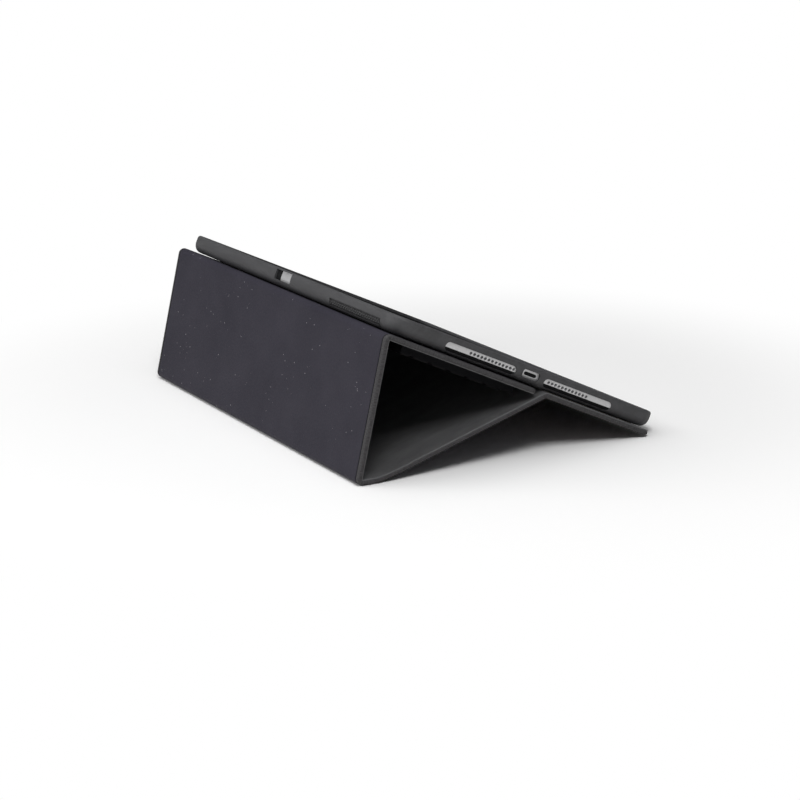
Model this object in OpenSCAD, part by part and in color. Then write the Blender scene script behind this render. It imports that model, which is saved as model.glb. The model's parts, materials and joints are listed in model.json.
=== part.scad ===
// Folio keyboard case for a 9.7-inch tablet, folded into its low reading stand.
// The long edges run along X, the front is -Y, and the stand rests on Z = 0.
// Seen from the side, a strip of stiff panels folds back on itself: the base
// panel under the tray, the crest fold, the leg down to the spine on the ground,
// the rear panel up to the top fold, and the keyboard panel, which comes back
// under the tray and wedges its free edge into the crest.

/* [Tablet] */
// Length of the tablet that the tray holds
tablet_l = 240; // [200:1:280]
// Width of the tablet
tablet_w = 169.5; // [150:0.5:190]
// Thickness of the tablet
tablet_t = 6.1; // [5:0.1:8]
// Gap left around the tablet
tablet_gap = 0.3; // [0.1:0.05:0.6]
// Depth of the tablet's curved edge, across and up
tablet_edge = [3.2, 3.6]; // [2:0.1:5]

/* [Tray] */
// Wall of the tray
wall = 1.2; // [0.9:0.1:2]
// Back of the tray
back_t = 1.7; // [1:0.1:2.5]
// Height of the lip over the tablet's face
lip_h = 1.5; // [0.7:0.1:2]
// How far the lip reaches over the tablet
lip_over = 0.8; // [0.4:0.1:2]
// Rounding of the lip's outer edge
lip_r = 1.6; // [0.4:0.1:1.8]
// Corner radius of the tray seen from above
tray_corner_r = 11; // [9:0.5:18]

/* [Stand] */
// Slope of the tray
tilt = 25; // [20:0.5:28]
// Distance from the tray's low edge to the crest fold
crest_u = 73; // [66:0.5:80]
// Length of the leg panel, from the crest fold to the spine
leg_l = 98.5; // [92:0.5:106]
// Width of the spine
spine_w = 11; // [9:0.5:16]
// Length of the keyboard panel, from the top fold to its free edge
key_panel_l = 92.5; // [91:0.5:95]
// Space between the crest fold's axis and the keyboard panel's free edge
crest_gap = 7; // [6.5:0.1:9]
// Space between the tray's back and the keyboard panel
tuck_gap = 0.6; // [0.5:0.1:2]
// Distance from the tray's low edge to the base panel's free edge
base_start = 3.5; // [2:0.5:6]

/* [Panels] */
// How far the panels reach past each short side of the tray
overhang = 2; // [0:0.5:6]
// Soft lining of a panel
lining_t = 0.5; // [0.3:0.1:1]
// Stiff board inside a panel
board_t = 1.7; // [1:0.1:2]
// Outer skin of a panel
skin_t = 0.8; // [0.5:0.1:1.2]
// Width of the skin around the board
edge_w = 3; // [1.5:0.5:6]
// Chamfer along the panels' outer edges
edge_chamfer = 0.8; // [0.3:0.1:1]
// Adhesive between the tray and the base panel
bond_t = 0.4; // [0.2:0.1:1]
// Distance from a panel's face to the axis it folds about
fold_inset = 0.3; // [0.2:0.05:0.5]
// Running gap between a fold strip and the panel that turns about it
fold_gap = 0.1; // [0.05:0.05:0.3]
// Bare skin between a fold's axis and the board
fold_bare = 4.5; // [3.5:0.5:5]

/* [Tray openings] */
// Height of the two speaker slots on each short side
speaker_h = 4.6; // [2:0.1:6]
// Start and end of the lower speaker slot, from the low edge
speaker_low = [31.5, 77]; // [20:0.5:78]
// Start and end of the upper speaker slot, from the high edge
speaker_inset = [32, 77]; // [20:0.5:78]
// Height of the middle of the speaker slots over the tray's back
speaker_v = 3.9; // [3:0.1:5]
// Length and height of the charging opening
port_size = [10.9, 4.2]; // [3:0.1:14]
// Corner radius of the charging opening
port_r = 1.2; // [0.4:0.1:2]
// Middle of the charging opening, from the tray's middle
port_shift = -0.3; // [-2:0.1:2]
// Length and height of the contact window in the high edge
window_size = [18, 5.4]; // [3:0.1:30]
// Middle of the contact window along the high edge
window_x = 2; // [-60:1:60]
// Height of the middle of the contact window over the tray's back
window_v = 5.7; // [5:0.1:6]
// Length and height of the volume opening in the low edge
volume_size = [30, 4.6]; // [4:0.1:50]
// Middle of the volume opening, from the far short side
volume_inset = 35.5; // [28:0.5:60]
// Length and height of the power opening on the far short side
power_size = [16, 4.6]; // [4:0.1:24]
// Middle of the power opening, from the low edge
power_u = 18; // [14:0.5:24]
// Radius of the headphone opening
jack_r = 2.9; // [2:0.1:3]
// Middle of the headphone opening, from the high edge
jack_inset = 17.5; // [14:0.5:26]
// Height of the middle of the other openings over the tray's back
opening_v = 4.8; // [4.2:0.1:5.4]
// Radius of the camera hole
camera_r = 6; // [3:0.5:8]
// Middle of the camera hole, from the far short side and the low edge
camera_inset = [15.5, 17]; // [12:0.5:40]

/* [Grip] */
// Start and end of the grip insert, from the near short side
grip_inset = [15, 68.5]; // [12:0.5:100]
// Lowest and highest edge of the grip insert over the tray's back
grip_v = [1, 4.7]; // [0.5:0.1:6]
// Depth of the grip insert in the wall
grip_depth = 0.6; // [0.3:0.1:0.8]
// How far the grip insert stands out
grip_proud = 0.3; // [0:0.1:1]
// Thickness of a speaker screen
screen_t = 0.4; // [0.2:0.1:0.5]

/* [Keyboard] */
// Distance from the top fold to the keyboard
keyboard_start = 12; // [11:0.5:14]
// Distance from the keyboard to its panel's free edge
keyboard_end = 9.3; // [8:0.1:12]
// Width of the keyboard along X
keyboard_w = 232; // [226:1:240]
// Wall of the keyboard's base
keyboard_wall = 1.4; // [1:0.1:2]
// Floor of the keyboard's base
keyboard_floor = 0.5; // [0.3:0.1:0.6]
// Space for the cell and circuit board under the switch layer
electronics_h = 1.0; // [0.8:0.1:1.2]
// Thickness of the steel support plate
plate_t = 0.2; // [0.1:0.05:0.3]
// Thickness of the switch membrane
membrane_t = 0.2; // [0.1:0.05:0.3]
// How far a key travels
key_travel = 0.8; // [0.4:0.1:1]
// Thickness of the flange that keeps a key under the frame
key_flange_t = 0.4; // [0.2:0.1:0.6]
// Thickness of the frame around the keys
frame_t = 0.5; // [0.4:0.1:1]
// How far a key at rest stands above the frame
key_proud = 0.9; // [0.8:0.05:1.2]
// Distance from key to key along a row
key_pitch = 16; // [15:0.1:16]
// Depth of the function row
function_pitch = 8; // [7:0.1:8]
// Space between the keyboard's wall and the first row
row_margin = 1.2; // [1:0.1:2]
// Gap between two key caps of a row
key_spacing = 2.4; // [2:0.1:3]
// Gap between the key caps of two rows
row_spacing = 2; // [1.8:0.1:3]
// How far a key's flange reaches past its cap
key_flange = 0.6; // [0.4:0.1:0.8]
// Gap between a key cap and the frame
key_gap = 0.25; // [0.15:0.05:0.35]
// Chamfer at a key cap's corners
key_chamfer = 0.9; // [0.3:0.1:2]

/* [Electronics] */
// Size of the battery cell seen from above
battery_size = [90, 42]; // [10:1:100]
// Size of the circuit board seen from above
circuit_size = [70, 30]; // [10:1:100]
// Gap between an inner piece and its neighbours
inner_gap = 0.1; // [0.05:0.05:0.3]
// Opening of the charging socket: along the wall, up and deep
socket_size = [7.5, 2, 4]; // [1:0.1:9]
// Size of the power switch knob: along the wall, up and deep
knob_size = [4, 1.2, 1.2]; // [0.8:0.1:8]
// Travel of the power switch
knob_travel = 3; // [2:0.5:4]
// How far the power switch stands out of the wall
knob_proud = 0.6; // [0.4:0.1:1]
// Place of the power switch along X
knob_x = 84; // [60:1:100]
// Radius of the status lights
light_r = 0.9; // [0.5:0.1:1.1]
// Distance between the two status lights
light_pitch = 6; // [3:0.5:12]
// Radius of the latch magnets in the keyboard panel
latch_r = 4; // [2:0.5:5]
// Distance between the latch magnets
latch_pitch = 60; // [30:1:70]
// Length and width of the bar magnets in the rear panel
bar_magnet = [24, 6]; // [4:0.5:40]
// Distance between the bar magnets
bar_pitch = 80; // [45:1:90]

/* [Hidden] */
// The tray
tray_l = tablet_l + 2 * (tablet_gap + wall);
tray_w = tablet_w + 2 * (tablet_gap + wall);
tray_t = back_t + tablet_t + lip_h;
// The tray's curved edge: how far it goes in, and how high it rises
edge_in = tablet_edge.x + wall;
edge_up = tablet_edge.y + back_t;
edge_steps = 8;
lip_steps = 4;
band_steps = 6;
// Openings and insets that keep their place from the tray's far ends
speaker_high = [tray_w - speaker_inset[1], tray_w - speaker_inset[0]];
port_u = tray_w / 2 + port_shift;
volume_x = tray_l / 2 - volume_inset;
jack_u = tray_w - jack_inset;
camera_at = [tray_l / 2 - camera_inset.x, camera_inset.y];
grip_x = [grip_inset[0] - tray_l / 2, grip_inset[1] - tray_l / 2];

// The panels: local Y runs along the strip, the lining's face is Z = 0
panel_w = tray_l + 2 * overhang;
panel_t = lining_t + board_t + skin_t;
fold_r = panel_t + fold_inset;
clear_r = fold_r + fold_gap;

// How far the tray is lifted, so that the base panel's free edge touches the ground
lift = (bond_t + panel_t) * cos(tilt) - base_start * sin(tilt);

// A point of the side view, from its place along and over the tray's back
function on_tray(u, v) = [u * cos(tilt) - v * sin(tilt), lift + u * sin(tilt) + v * cos(tilt)];
function along(angle, y, z) = [y * cos(angle) - z * sin(angle), y * sin(angle) + z * cos(angle)];

// The four fold axes in the side view
crest = on_tray(crest_u, -(bond_t + fold_r));
spine_z = panel_t + fold_inset;
leg_rise = panel_t + 2 * fold_inset;
leg_angle = asin((spine_z - crest.y) / norm([leg_l, leg_rise])) - atan2(leg_rise, leg_l);
spine_front = crest + along(leg_angle, leg_l, leg_rise);
spine_rear = spine_front + [spine_w, 0];
top_u = crest_u + crest_gap + key_panel_l;
top = on_tray(top_u, -(tuck_gap + fold_r));
rear_l = norm(top - spine_rear);
rear_angle = atan2(top.y - spine_rear.y, top.x - spine_rear.x);
key_angle = tilt + 180;

base_l = crest_u - base_start;

// The part stands centred on its origin
front_y = min([for (p = lip_points(lip_r, tray_t)) on_tray(p.x, p.y).x]);
rear_y = spine_rear.x + fold_r;
centre_y = (front_y + rear_y) / 2;

// The keyboard's layers over the keyboard panel's lining
circuit_z = keyboard_floor;
plate_z = circuit_z + electronics_h;
membrane_z = plate_z + plate_t;
membrane_top = membrane_z + membrane_t;
key_stop = 0.05;
flange_z = membrane_top + key_stop + key_travel;
frame_z = flange_z + key_flange_t + key_stop;
key_top = frame_z + frame_t + key_proud;
keyboard_l = key_panel_l - keyboard_start - keyboard_end;
keyboard_mid = keyboard_start + keyboard_l / 2;
keyboard_bay_w = keyboard_w - 2 * keyboard_wall;
columns = 14;
keys_w = columns * key_pitch;
letter_rows = 5;
row_pitch = (keyboard_l - 2 * (keyboard_wall + row_margin) - function_pitch) / letter_rows;

// Each row's key widths, in key pitches
function_row = [for (i = [1 : columns]) 1];
number_row = [for (i = [1 : columns]) 1];
upper_row = concat([1.25], [for (i = [1 : 11]) 1], [1.75]);
home_row = concat([1.5], [for (i = [1 : 11]) 1], [1.5]);
lower_row = concat([2], [for (i = [1 : 10]) 1], [2]);
space_row = concat([for (i = [1 : 4]) 1], [5], [for (i = [1 : 5]) 1]);

// How far a cut starts inside the space it joins, and how far it reaches past a face
eps = 0.01;
past = 1;
far = 400;
round_fn = 64;
bend_steps = 16;

// ---------- Placing ----------

module side_view() {
    translate([0, -centre_y, 0]) children();
}

// Along the tray: Y from its low edge, Z over its back
module on_slope() {
    side_view() translate([0, 0, lift]) rotate([tilt, 0, 0]) children();
}

// A panel that starts at a fold axis of the side view
module panel_at(axis, angle, axis_z) {
    side_view() translate([0, axis.x, axis.y]) rotate([angle, 0, 0])
        translate([0, 0, -axis_z]) children();
}

module on_base() {
    on_slope() translate([0, base_start, -bond_t]) children();
}

module on_leg() {
    panel_at(crest, leg_angle, -fold_r) children();
}

module on_spine() {
    panel_at(spine_front, 0, fold_inset) children();
}

module on_rear() {
    panel_at(spine_rear, rear_angle, fold_inset) children();
}

module on_key_panel() {
    panel_at(top, key_angle, fold_inset) children();
}

// ---------- Shapes ----------

// Extrudes a drawing of Y and Z along X, centred
module along_x(length) {
    rotate([90, 0, 90]) linear_extrude(length, center = true) children();
}

// Extrudes a drawing of X and Z along Y, centred
module along_y(length) {
    rotate([90, 0, 0]) linear_extrude(length, center = true) children();
}

// A block from its low corner to its high corner
module block(low, high) {
    translate(low) cube(high - low);
}

// A slot with round ends, centred
module slot_shape(length, height) {
    square([length - height, height], center = true);
    for (side = [-1, 1]) translate([side * (length - height) / 2, 0])
        circle(d = height, $fn = round_fn);
}

// A rectangle with round corners, centred
module rounded_shape(length, width, r) {
    square([length - 2 * r, width], center = true);
    square([length, width - 2 * r], center = true);
    for (sx = [-1, 1], sy = [-1, 1]) translate([sx * (length / 2 - r), sy * (width / 2 - r)])
        circle(r, $fn = round_fn);
}

// The curved edge of a tray: how far in it is at each height, up to a lip rounded by r
function edge_points(run, rise, z0, z1, r) = concat(
    [for (i = [0 : edge_steps]) let (a = 90 * i / edge_steps)
        [run * (1 - sin(a)), z0 + rise * (1 - cos(a))]],
    r > 0 ? lip_points(r, z1) : [[0, z1]]
);
function lip_points(r, z1) = [for (i = [0 : lip_steps]) let (a = 90 * i / lip_steps)
    [r * (1 - cos(a)), z1 - r * (1 - sin(a))]];

module edge_section(half, points) {
    polygon(concat(
        [for (p = points) [half - p.x, p.y]],
        [for (i = [len(points) - 1 : -1 : 0]) [points[i].x - half, points[i].y]]
    ));
}

// A flat block with round corners and edges that curve in towards its back
module curved_block(length, width, r, run, rise, z0, z1, top_r) {
    points = edge_points(run, rise, z0, z1, top_r);
    along_x(length - 2 * r) edge_section(width / 2, points);
    along_y(width - 2 * r) edge_section(length / 2, points);
    for (sx = [-1, 1], sy = [-1, 1]) translate([sx * (length / 2 - r), sy * (width / 2 - r), 0])
        rotate_extrude($fn = round_fn)
            polygon(concat([[0, z0]], [for (p = points) [r - p.x, p.y]], [[0, z1]]));
}

// A point of the tray's curved edge, moved out along its normal
function edge_normal(a) = let (n = [sin(a) / edge_in, -cos(a) / edge_up]) n / norm(n);
function edge_point(half, a, out) =
    [half - edge_in * (1 - sin(a)), edge_up * (1 - cos(a))] + out * edge_normal(a);
function edge_angle(v) = acos(1 - v / edge_up);

// A band that follows the curved edge between two heights and two depths
module edge_band(half, v_low, v_high, deep, out) {
    a0 = edge_angle(v_low);
    step = (edge_angle(min(v_high, edge_up)) - a0) / band_steps;
    above = v_high > edge_up ? [v_high] : [];
    polygon(concat(
        [for (i = [0 : band_steps]) edge_point(half, a0 + i * step, out)],
        [for (v = above) [half + out, v]],
        [for (v = above) [half - deep, v]],
        [for (i = [band_steps : -1 : 0]) edge_point(half, a0 + i * step, -deep)]
    ));
}

// ---------- Tray ----------

module short_side_cut(side, u) {
    translate([side * tray_l / 2, u, opening_v]) along_x(2 * edge_in) children();
}

module speaker_cuts(side) {
    for (span = [speaker_low, speaker_high])
        translate([side * tray_l / 2, (span[0] + span[1]) / 2, speaker_v]) along_x(2 * edge_in)
            slot_shape(span[1] - span[0], speaker_h);
}

module grip_bar(out) {
    length = grip_x[1] - grip_x[0];
    translate([(grip_x[0] + grip_x[1]) / 2, 0, 0]) along_x(length)
        edge_band(tray_w, grip_v[0], grip_v[1], grip_depth, out);
}

// How far a speaker screen reaches past its slot
screen_margin = 0.8;

module screen_bars(side) {
    for (span = [speaker_low, speaker_high])
        translate([0, (span[0] + span[1]) / 2, 0]) mirror([side < 0 ? 1 : 0, 0, 0])
            along_y(span[1] - span[0] + 2 * screen_margin)
                edge_band(tray_l / 2, speaker_v - (speaker_h + screen_margin) / 2,
                    speaker_v + (speaker_h + screen_margin) / 2,
                    (wall + screen_t) / 2, (screen_t - wall) / 2);
}

module camera_cut(length) {
    translate([camera_at.x, camera_at.y, 0])
        cylinder(h = length, r = camera_r, center = true, $fn = round_fn);
}

module tray_shell() {
    bay_l = tray_l - 2 * wall;
    bay_w = tray_w - 2 * wall;
    bay_r = tray_corner_r - wall;
    lip_l = bay_l - 2 * lip_over;
    lip_w = bay_w - 2 * lip_over;
    color("#3b3b3d") on_slope() difference() {
        translate([0, tray_w / 2, 0])
            curved_block(tray_l, tray_w, tray_corner_r, edge_in, edge_up, 0, tray_t, lip_r);
        translate([0, tray_w / 2, 0])
            curved_block(bay_l, bay_w, bay_r, tablet_edge.x, tablet_edge.y, back_t, tray_t - lip_h, 0);
        translate([0, tray_w / 2, tray_t - lip_h - eps]) linear_extrude(lip_h + past)
            rounded_shape(lip_l, lip_w, bay_r - lip_over);
        for (side = [-1, 1]) speaker_cuts(side);
        for (side = [-1, 1]) screen_bars(side);
        short_side_cut(-1, port_u) rounded_shape(port_size.x, port_size.y, port_r);
        short_side_cut(1, power_u) slot_shape(power_size.x, power_size.y);
        short_side_cut(1, jack_u) circle(jack_r, $fn = round_fn);
        translate([window_x, tray_w, window_v]) along_y(2 * edge_in)
            square(window_size, center = true);
        translate([volume_x, 0, opening_v]) along_y(2 * edge_in)
            slot_shape(volume_size.x, volume_size.y);
        camera_cut(4 * back_t);
        grip_bar(wall);
    }
}

module grip_insert() {
    color("#2a2a2c") on_slope() grip_bar(grip_proud);
}

module speaker_screens() {
    color("#a9a9a8") on_slope() for (side = [-1, 1]) screen_bars(side);
}

// Distance between the adhesive and the edges around it
bond_margin = 3;

module bond_sheet() {
    color("#d8d2b8") on_slope() difference() {
        block(
            [-(tray_l / 2 - tray_corner_r), edge_in + bond_margin, -bond_t],
            [tray_l / 2 - tray_corner_r, crest_u - clear_r - bond_margin, 0]
        );
        translate([camera_at.x, camera_at.y, 0])
            cylinder(h = 4 * bond_t, r = camera_r + bond_margin, center = true, $fn = round_fn);
    }
}

// ---------- Panels ----------

// The round clearance that a turning panel's end leaves around a fold's axis
module fold_clearance(y, z) {
    translate([0, y, z]) rotate([0, 90, 0])
        cylinder(h = 2 * far, r = clear_r, center = true, $fn = round_fn);
}

// Outer skin with chamfered long edges, and its pocket for the board
module skin_panel(length, pocket) {
    half = panel_w / 2;
    difference() {
        translate([0, length / 2, 0]) along_y(length) polygon([
            [-half, -lining_t], [-half, edge_chamfer - panel_t], [edge_chamfer - half, -panel_t],
            [half - edge_chamfer, -panel_t], [half, edge_chamfer - panel_t], [half, -lining_t]
        ]);
        block([edge_w - half, pocket[0], skin_t - panel_t], [half - edge_w, pocket[1], 0]);
    }
}

module board_panel(pocket) {
    half = panel_w / 2 - edge_w;
    block([-half, pocket[0], skin_t - panel_t], [half, pocket[1], -lining_t]);
}

module lining_panel(length) {
    block([-panel_w / 2, 0, -lining_t], [panel_w / 2, length, 0]);
}

// Points of an arc round the origin
function arc_points(r, a0, a1) =
    [for (i = [0 : bend_steps]) let (a = a0 + (a1 - a0) * i / bend_steps) r * [cos(a), sin(a)]];

// A fold's strip, drawn around its axis: a round bend from one panel's face to the other's,
// then a straight end on the turning panel's side that stays inside the clearance.
// start and end are the directions in which the two panels' faces look.
module fold_strip(start, end) {
    turn = end > start ? 1 : -1;
    tail_start = 90 / bend_steps;
    tail_end = acos(fold_inset / fold_r);
    along_x(panel_w) polygon(concat(
        arc_points(fold_r, start, end),
        arc_points(fold_r, end + turn * tail_start, end + turn * tail_end),
        arc_points(fold_inset, end, start)
    ));
}

module fold_at(axis) {
    side_view() translate([0, axis.x, axis.y]) children();
}

// Base panel, from its free edge to the crest fold
base_pocket = [edge_w, base_l - fold_bare];

module base_cuts() {
    fold_clearance(base_l, -fold_r);
    translate([0, -base_start, 0]) camera_cut(4 * panel_t);
}

module base_skin() {
    color("#343238") on_base() difference() {
        skin_panel(base_l, base_pocket);
        base_cuts();
    }
}

module base_board() {
    color("#8a7f70") on_base() difference() {
        board_panel(base_pocket);
        base_cuts();
    }
}

module base_lining() {
    color("#4a4a4c") on_base() difference() {
        lining_panel(base_l);
        base_cuts();
    }
}

// Leg panel, from the crest fold to the spine
leg_pocket = [fold_bare, leg_l - fold_bare];

module leg_skin() {
    color("#343238") on_leg() difference() {
        skin_panel(leg_l, leg_pocket);
        fold_clearance(leg_l, fold_inset);
    }
}

module leg_board() {
    color("#8a7f70") on_leg() board_panel(leg_pocket);
}

module leg_lining() {
    color("#4a4a4c") on_leg() difference() {
        lining_panel(leg_l);
        fold_clearance(leg_l, fold_inset);
    }
}

module crest_fold() {
    color("#2f2d33") fold_at(crest)
        fold_strip(leg_angle + 90, tilt + 90);
}

// Spine, flat on the ground, with its board this far from its folds
spine_margin = 2;
spine_pocket = [spine_margin, spine_w - spine_margin];

module spine_skin() {
    color("#343238") on_spine() skin_panel(spine_w, spine_pocket);
}

module spine_board() {
    color("#8a7f70") on_spine() board_panel(spine_pocket);
}

module spine_lining() {
    color("#4a4a4c") on_spine() lining_panel(spine_w);
}

module spine_front_fold() {
    color("#2f2d33") fold_at(spine_front)
        fold_strip(-90, leg_angle - 90);
}

module spine_rear_fold() {
    color("#2f2d33") fold_at(spine_rear)
        fold_strip(-90, rear_angle - 90);
}

// Rear panel, from the spine up to the top fold
rear_pocket = [fold_bare, rear_l - fold_bare];
bar_magnet_y = rear_l - fold_bare - bar_magnet.y;
magnet_t = board_t - 2 * inner_gap;

module bar_magnets(grow, t) {
    for (i = [-1 : 1]) translate([i * bar_pitch, bar_magnet_y, -(lining_t + board_t / 2)])
        cube([bar_magnet.x + 2 * grow, bar_magnet.y + 2 * grow, t], center = true);
}

module rear_skin() {
    color("#343238") on_rear() difference() {
        skin_panel(rear_l, rear_pocket);
        fold_clearance(0, fold_inset);
    }
}

module rear_board() {
    color("#8a7f70") on_rear() difference() {
        board_panel(rear_pocket);
        bar_magnets(inner_gap, 2 * board_t);
    }
}

module rear_lining() {
    color("#4a4a4c") on_rear() difference() {
        lining_panel(rear_l);
        fold_clearance(0, fold_inset);
    }
}

module stand_magnets() {
    color("#9a9a9e") on_rear() bar_magnets(0, magnet_t);
}

module top_fold() {
    color("#2f2d33") fold_at(top)
        fold_strip(rear_angle - 90, key_angle - 90);
}

// Keyboard panel, from the top fold to its free edge in the crest
key_pocket = [fold_bare, key_panel_l - edge_w];
latch_margin = 1;
latch_y = key_pocket[1] - latch_r - latch_margin;

module latch_discs(grow, t) {
    for (i = [-1.5 : 1.5]) translate([i * latch_pitch, latch_y, -(lining_t + board_t / 2)])
        cylinder(h = t, r = latch_r + grow, center = true, $fn = round_fn);
}

module key_panel_skin() {
    color("#343238") on_key_panel() difference() {
        skin_panel(key_panel_l, key_pocket);
        fold_clearance(0, fold_inset);
    }
}

module key_panel_board() {
    color("#8a7f70") on_key_panel() difference() {
        board_panel(key_pocket);
        latch_discs(inner_gap, 2 * board_t);
    }
}

module key_panel_lining() {
    color("#4a4a4c") on_key_panel() difference() {
        lining_panel(key_panel_l);
        fold_clearance(0, fold_inset);
    }
}

module latch_magnets() {
    color("#9a9a9e") on_key_panel() latch_discs(0, magnet_t);
}

// ---------- Keyboard ----------

module on_keyboard() {
    on_key_panel() translate([0, keyboard_mid, 0]) children();
}

// A flat sheet centred on the keyboard
module sheet(length, width, z, t) {
    translate([0, 0, z]) linear_extrude(t) square([length, width], center = true);
}

socket_at = [keyboard_w / 2 - socket_size.z, -keyboard_l / 2 + keyboard_wall + row_margin];
socket_wall = 0.4;

module socket_block(grow) {
    block(
        [socket_at.x - grow, socket_at.y - grow, keyboard_floor],
        [keyboard_w / 2 + grow, socket_at.y + socket_size.x + grow, keyboard_floor + socket_size.y + grow]
    );
}

// Height of the power switch over the keyboard's floor, and the play around it
knob_lift = 0.4;
knob_slack = 0.1;
knob_z = keyboard_floor + knob_lift;

// The knob's slot runs through the wall that faces the top fold
module knob_slot() {
    block(
        [knob_x - knob_slack, -keyboard_l / 2 - past, knob_z - knob_slack],
        [
            knob_x + knob_size.x + knob_travel + knob_slack,
            -keyboard_l / 2 + keyboard_wall + past,
            knob_z + knob_size.y + knob_slack
        ]
    );
}

module keyboard_base() {
    color("#26262a") on_keyboard() difference() {
        sheet(keyboard_w, keyboard_l, 0, frame_z);
        sheet(keyboard_bay_w, keyboard_l - 2 * keyboard_wall, keyboard_floor, frame_z);
        socket_block(0);
        knob_slot();
    }
}

module battery() {
    color("#c8c8cc") on_keyboard() translate([-battery_size.x / 2 - inner_gap, 0, 0])
        sheet(battery_size.x, battery_size.y, circuit_z, electronics_h - inner_gap);
}

module circuit_board() {
    color("#1f6b3a") on_keyboard() translate([circuit_size.x / 2 + inner_gap, 0, 0])
        sheet(circuit_size.x, circuit_size.y, circuit_z, electronics_h - inner_gap);
}

module charge_socket() {
    color("#b0b0b4") on_keyboard() difference() {
        socket_block(0);
        block(
            [socket_at.x + socket_wall, socket_at.y + socket_wall, keyboard_floor + socket_wall],
            [
                keyboard_w / 2 + past,
                socket_at.y + socket_size.x - socket_wall,
                keyboard_floor + socket_size.y - socket_wall
            ]
        );
    }
}

// The switch layers stop short of the socket at both ends
layer_w = 2 * (socket_at.x - inner_gap);
layer_l = keyboard_l - 2 * (keyboard_wall + inner_gap);

module support_plate() {
    color("#8f9296") on_keyboard() sheet(layer_w, layer_l, plate_z, plate_t);
}

module switch_membrane() {
    color("#b9c4c9") on_keyboard() sheet(layer_w, layer_l, membrane_z, membrane_t);
}

// A key's outline, with small chamfers at its corners
module key_outline(length, width) {
    x = length / 2;
    y = width / 2;
    c = key_chamfer;
    polygon([
        [-x + c, -y], [x - c, -y], [x, -y + c], [x, y - c],
        [x - c, y], [-x + c, y], [-x, y - c], [-x, -y + c]
    ]);
}

// Where a row starts, counted from the keyboard's wall at the top fold
function row_y(row) = -keyboard_l / 2 + keyboard_wall + row_margin
    + (row == 0 ? function_pitch / 2 : function_pitch + (row - 0.5) * row_pitch);
function row_depth(row) = row == 0 ? function_pitch : row_pitch;
function sum_before(widths, i) = i == 0 ? 0 : widths[i - 1] + sum_before(widths, i - 1);

// Puts children(0) at each key of a row; $key_l and $key_w are the key's size
module each_key(row, widths) {
    for (i = [0 : len(widths) - 1]) {
        $key_l = widths[i] * key_pitch - key_spacing;
        $key_w = row_depth(row) - row_spacing;
        translate([-keys_w / 2 + (sum_before(widths, i) + widths[i] / 2) * key_pitch, row_y(row), 0])
            children();
    }
}

module key_row(row, widths) {
    color("#1c1c20") on_keyboard() each_key(row, widths) {
        translate([0, 0, flange_z]) linear_extrude(key_flange_t)
            key_outline($key_l + 2 * key_flange, $key_w + 2 * key_flange);
        translate([0, 0, flange_z]) linear_extrude(key_top - flange_z)
            key_outline($key_l, $key_w);
    }
}

ROWS = [function_row, number_row, upper_row, home_row, lower_row, space_row];
light_x = (keys_w + keyboard_bay_w) / 4;

module light_pipes(z, t) {
    for (i = [-0.5, 0.5]) translate([light_x, row_y(1) + i * light_pitch, z])
        cylinder(h = t, r = light_r, $fn = round_fn);
}

module key_frame() {
    color("#26262a") on_keyboard() difference() {
        sheet(keyboard_w, keyboard_l, frame_z, frame_t);
        for (row = [0 : len(ROWS) - 1]) each_key(row, ROWS[row])
            translate([0, 0, frame_z - past]) linear_extrude(frame_t + 2 * past)
                key_outline($key_l + 2 * key_gap, $key_w + 2 * key_gap);
        light_pipes(frame_z - past, frame_t + 2 * past);
    }
}

module status_lights() {
    color("#dfe8df") on_keyboard() light_pipes(frame_z, frame_t);
}

module power_switch() {
    color("#46464a") on_keyboard() translate([knob_x, -keyboard_l / 2 - knob_proud, knob_z])
        cube([knob_size.x, knob_proud + knob_size.z, knob_size.y]);
}

module function_keys() {
    key_row(0, function_row);
}

module number_keys() {
    key_row(1, number_row);
}

module upper_keys() {
    key_row(2, upper_row);
}

module home_keys() {
    key_row(3, home_row);
}

module lower_keys() {
    key_row(4, lower_row);
}

module space_keys() {
    key_row(5, space_row);
}

tray_shell();
grip_insert();
speaker_screens();
bond_sheet();
base_skin();
base_board();
base_lining();
leg_skin();
leg_board();
leg_lining();
crest_fold();
spine_skin();
spine_board();
spine_lining();
spine_front_fold();
spine_rear_fold();
rear_skin();
rear_board();
rear_lining();
stand_magnets();
top_fold();
key_panel_skin();
key_panel_board();
key_panel_lining();
latch_magnets();
keyboard_base();
battery();
circuit_board();
charge_socket();
support_plate();
switch_membrane();
key_frame();
status_lights();
power_switch();
function_keys();
number_keys();
upper_keys();
home_keys();
lower_keys();
space_keys();
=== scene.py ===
import json
import math
import bmesh
import bpy
from mathutils import Matrix, Vector


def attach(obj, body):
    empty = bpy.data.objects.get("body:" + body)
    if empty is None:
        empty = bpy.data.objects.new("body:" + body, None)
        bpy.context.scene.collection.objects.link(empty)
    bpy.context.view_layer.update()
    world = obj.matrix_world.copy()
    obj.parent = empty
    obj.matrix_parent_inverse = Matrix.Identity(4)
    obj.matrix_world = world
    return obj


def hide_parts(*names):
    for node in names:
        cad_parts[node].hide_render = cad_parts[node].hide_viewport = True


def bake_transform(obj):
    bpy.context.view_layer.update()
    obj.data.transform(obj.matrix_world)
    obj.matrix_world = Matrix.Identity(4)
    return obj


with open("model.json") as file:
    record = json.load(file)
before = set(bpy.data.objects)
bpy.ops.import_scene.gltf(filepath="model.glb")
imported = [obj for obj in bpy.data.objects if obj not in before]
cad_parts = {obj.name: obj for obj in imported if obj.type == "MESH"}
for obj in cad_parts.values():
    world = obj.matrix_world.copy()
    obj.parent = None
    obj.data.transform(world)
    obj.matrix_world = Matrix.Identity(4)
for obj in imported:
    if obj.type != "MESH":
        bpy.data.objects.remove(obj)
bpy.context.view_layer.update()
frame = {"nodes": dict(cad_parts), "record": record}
MM = 0.001

# ---------- The source's values, in millimetres ----------

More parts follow.
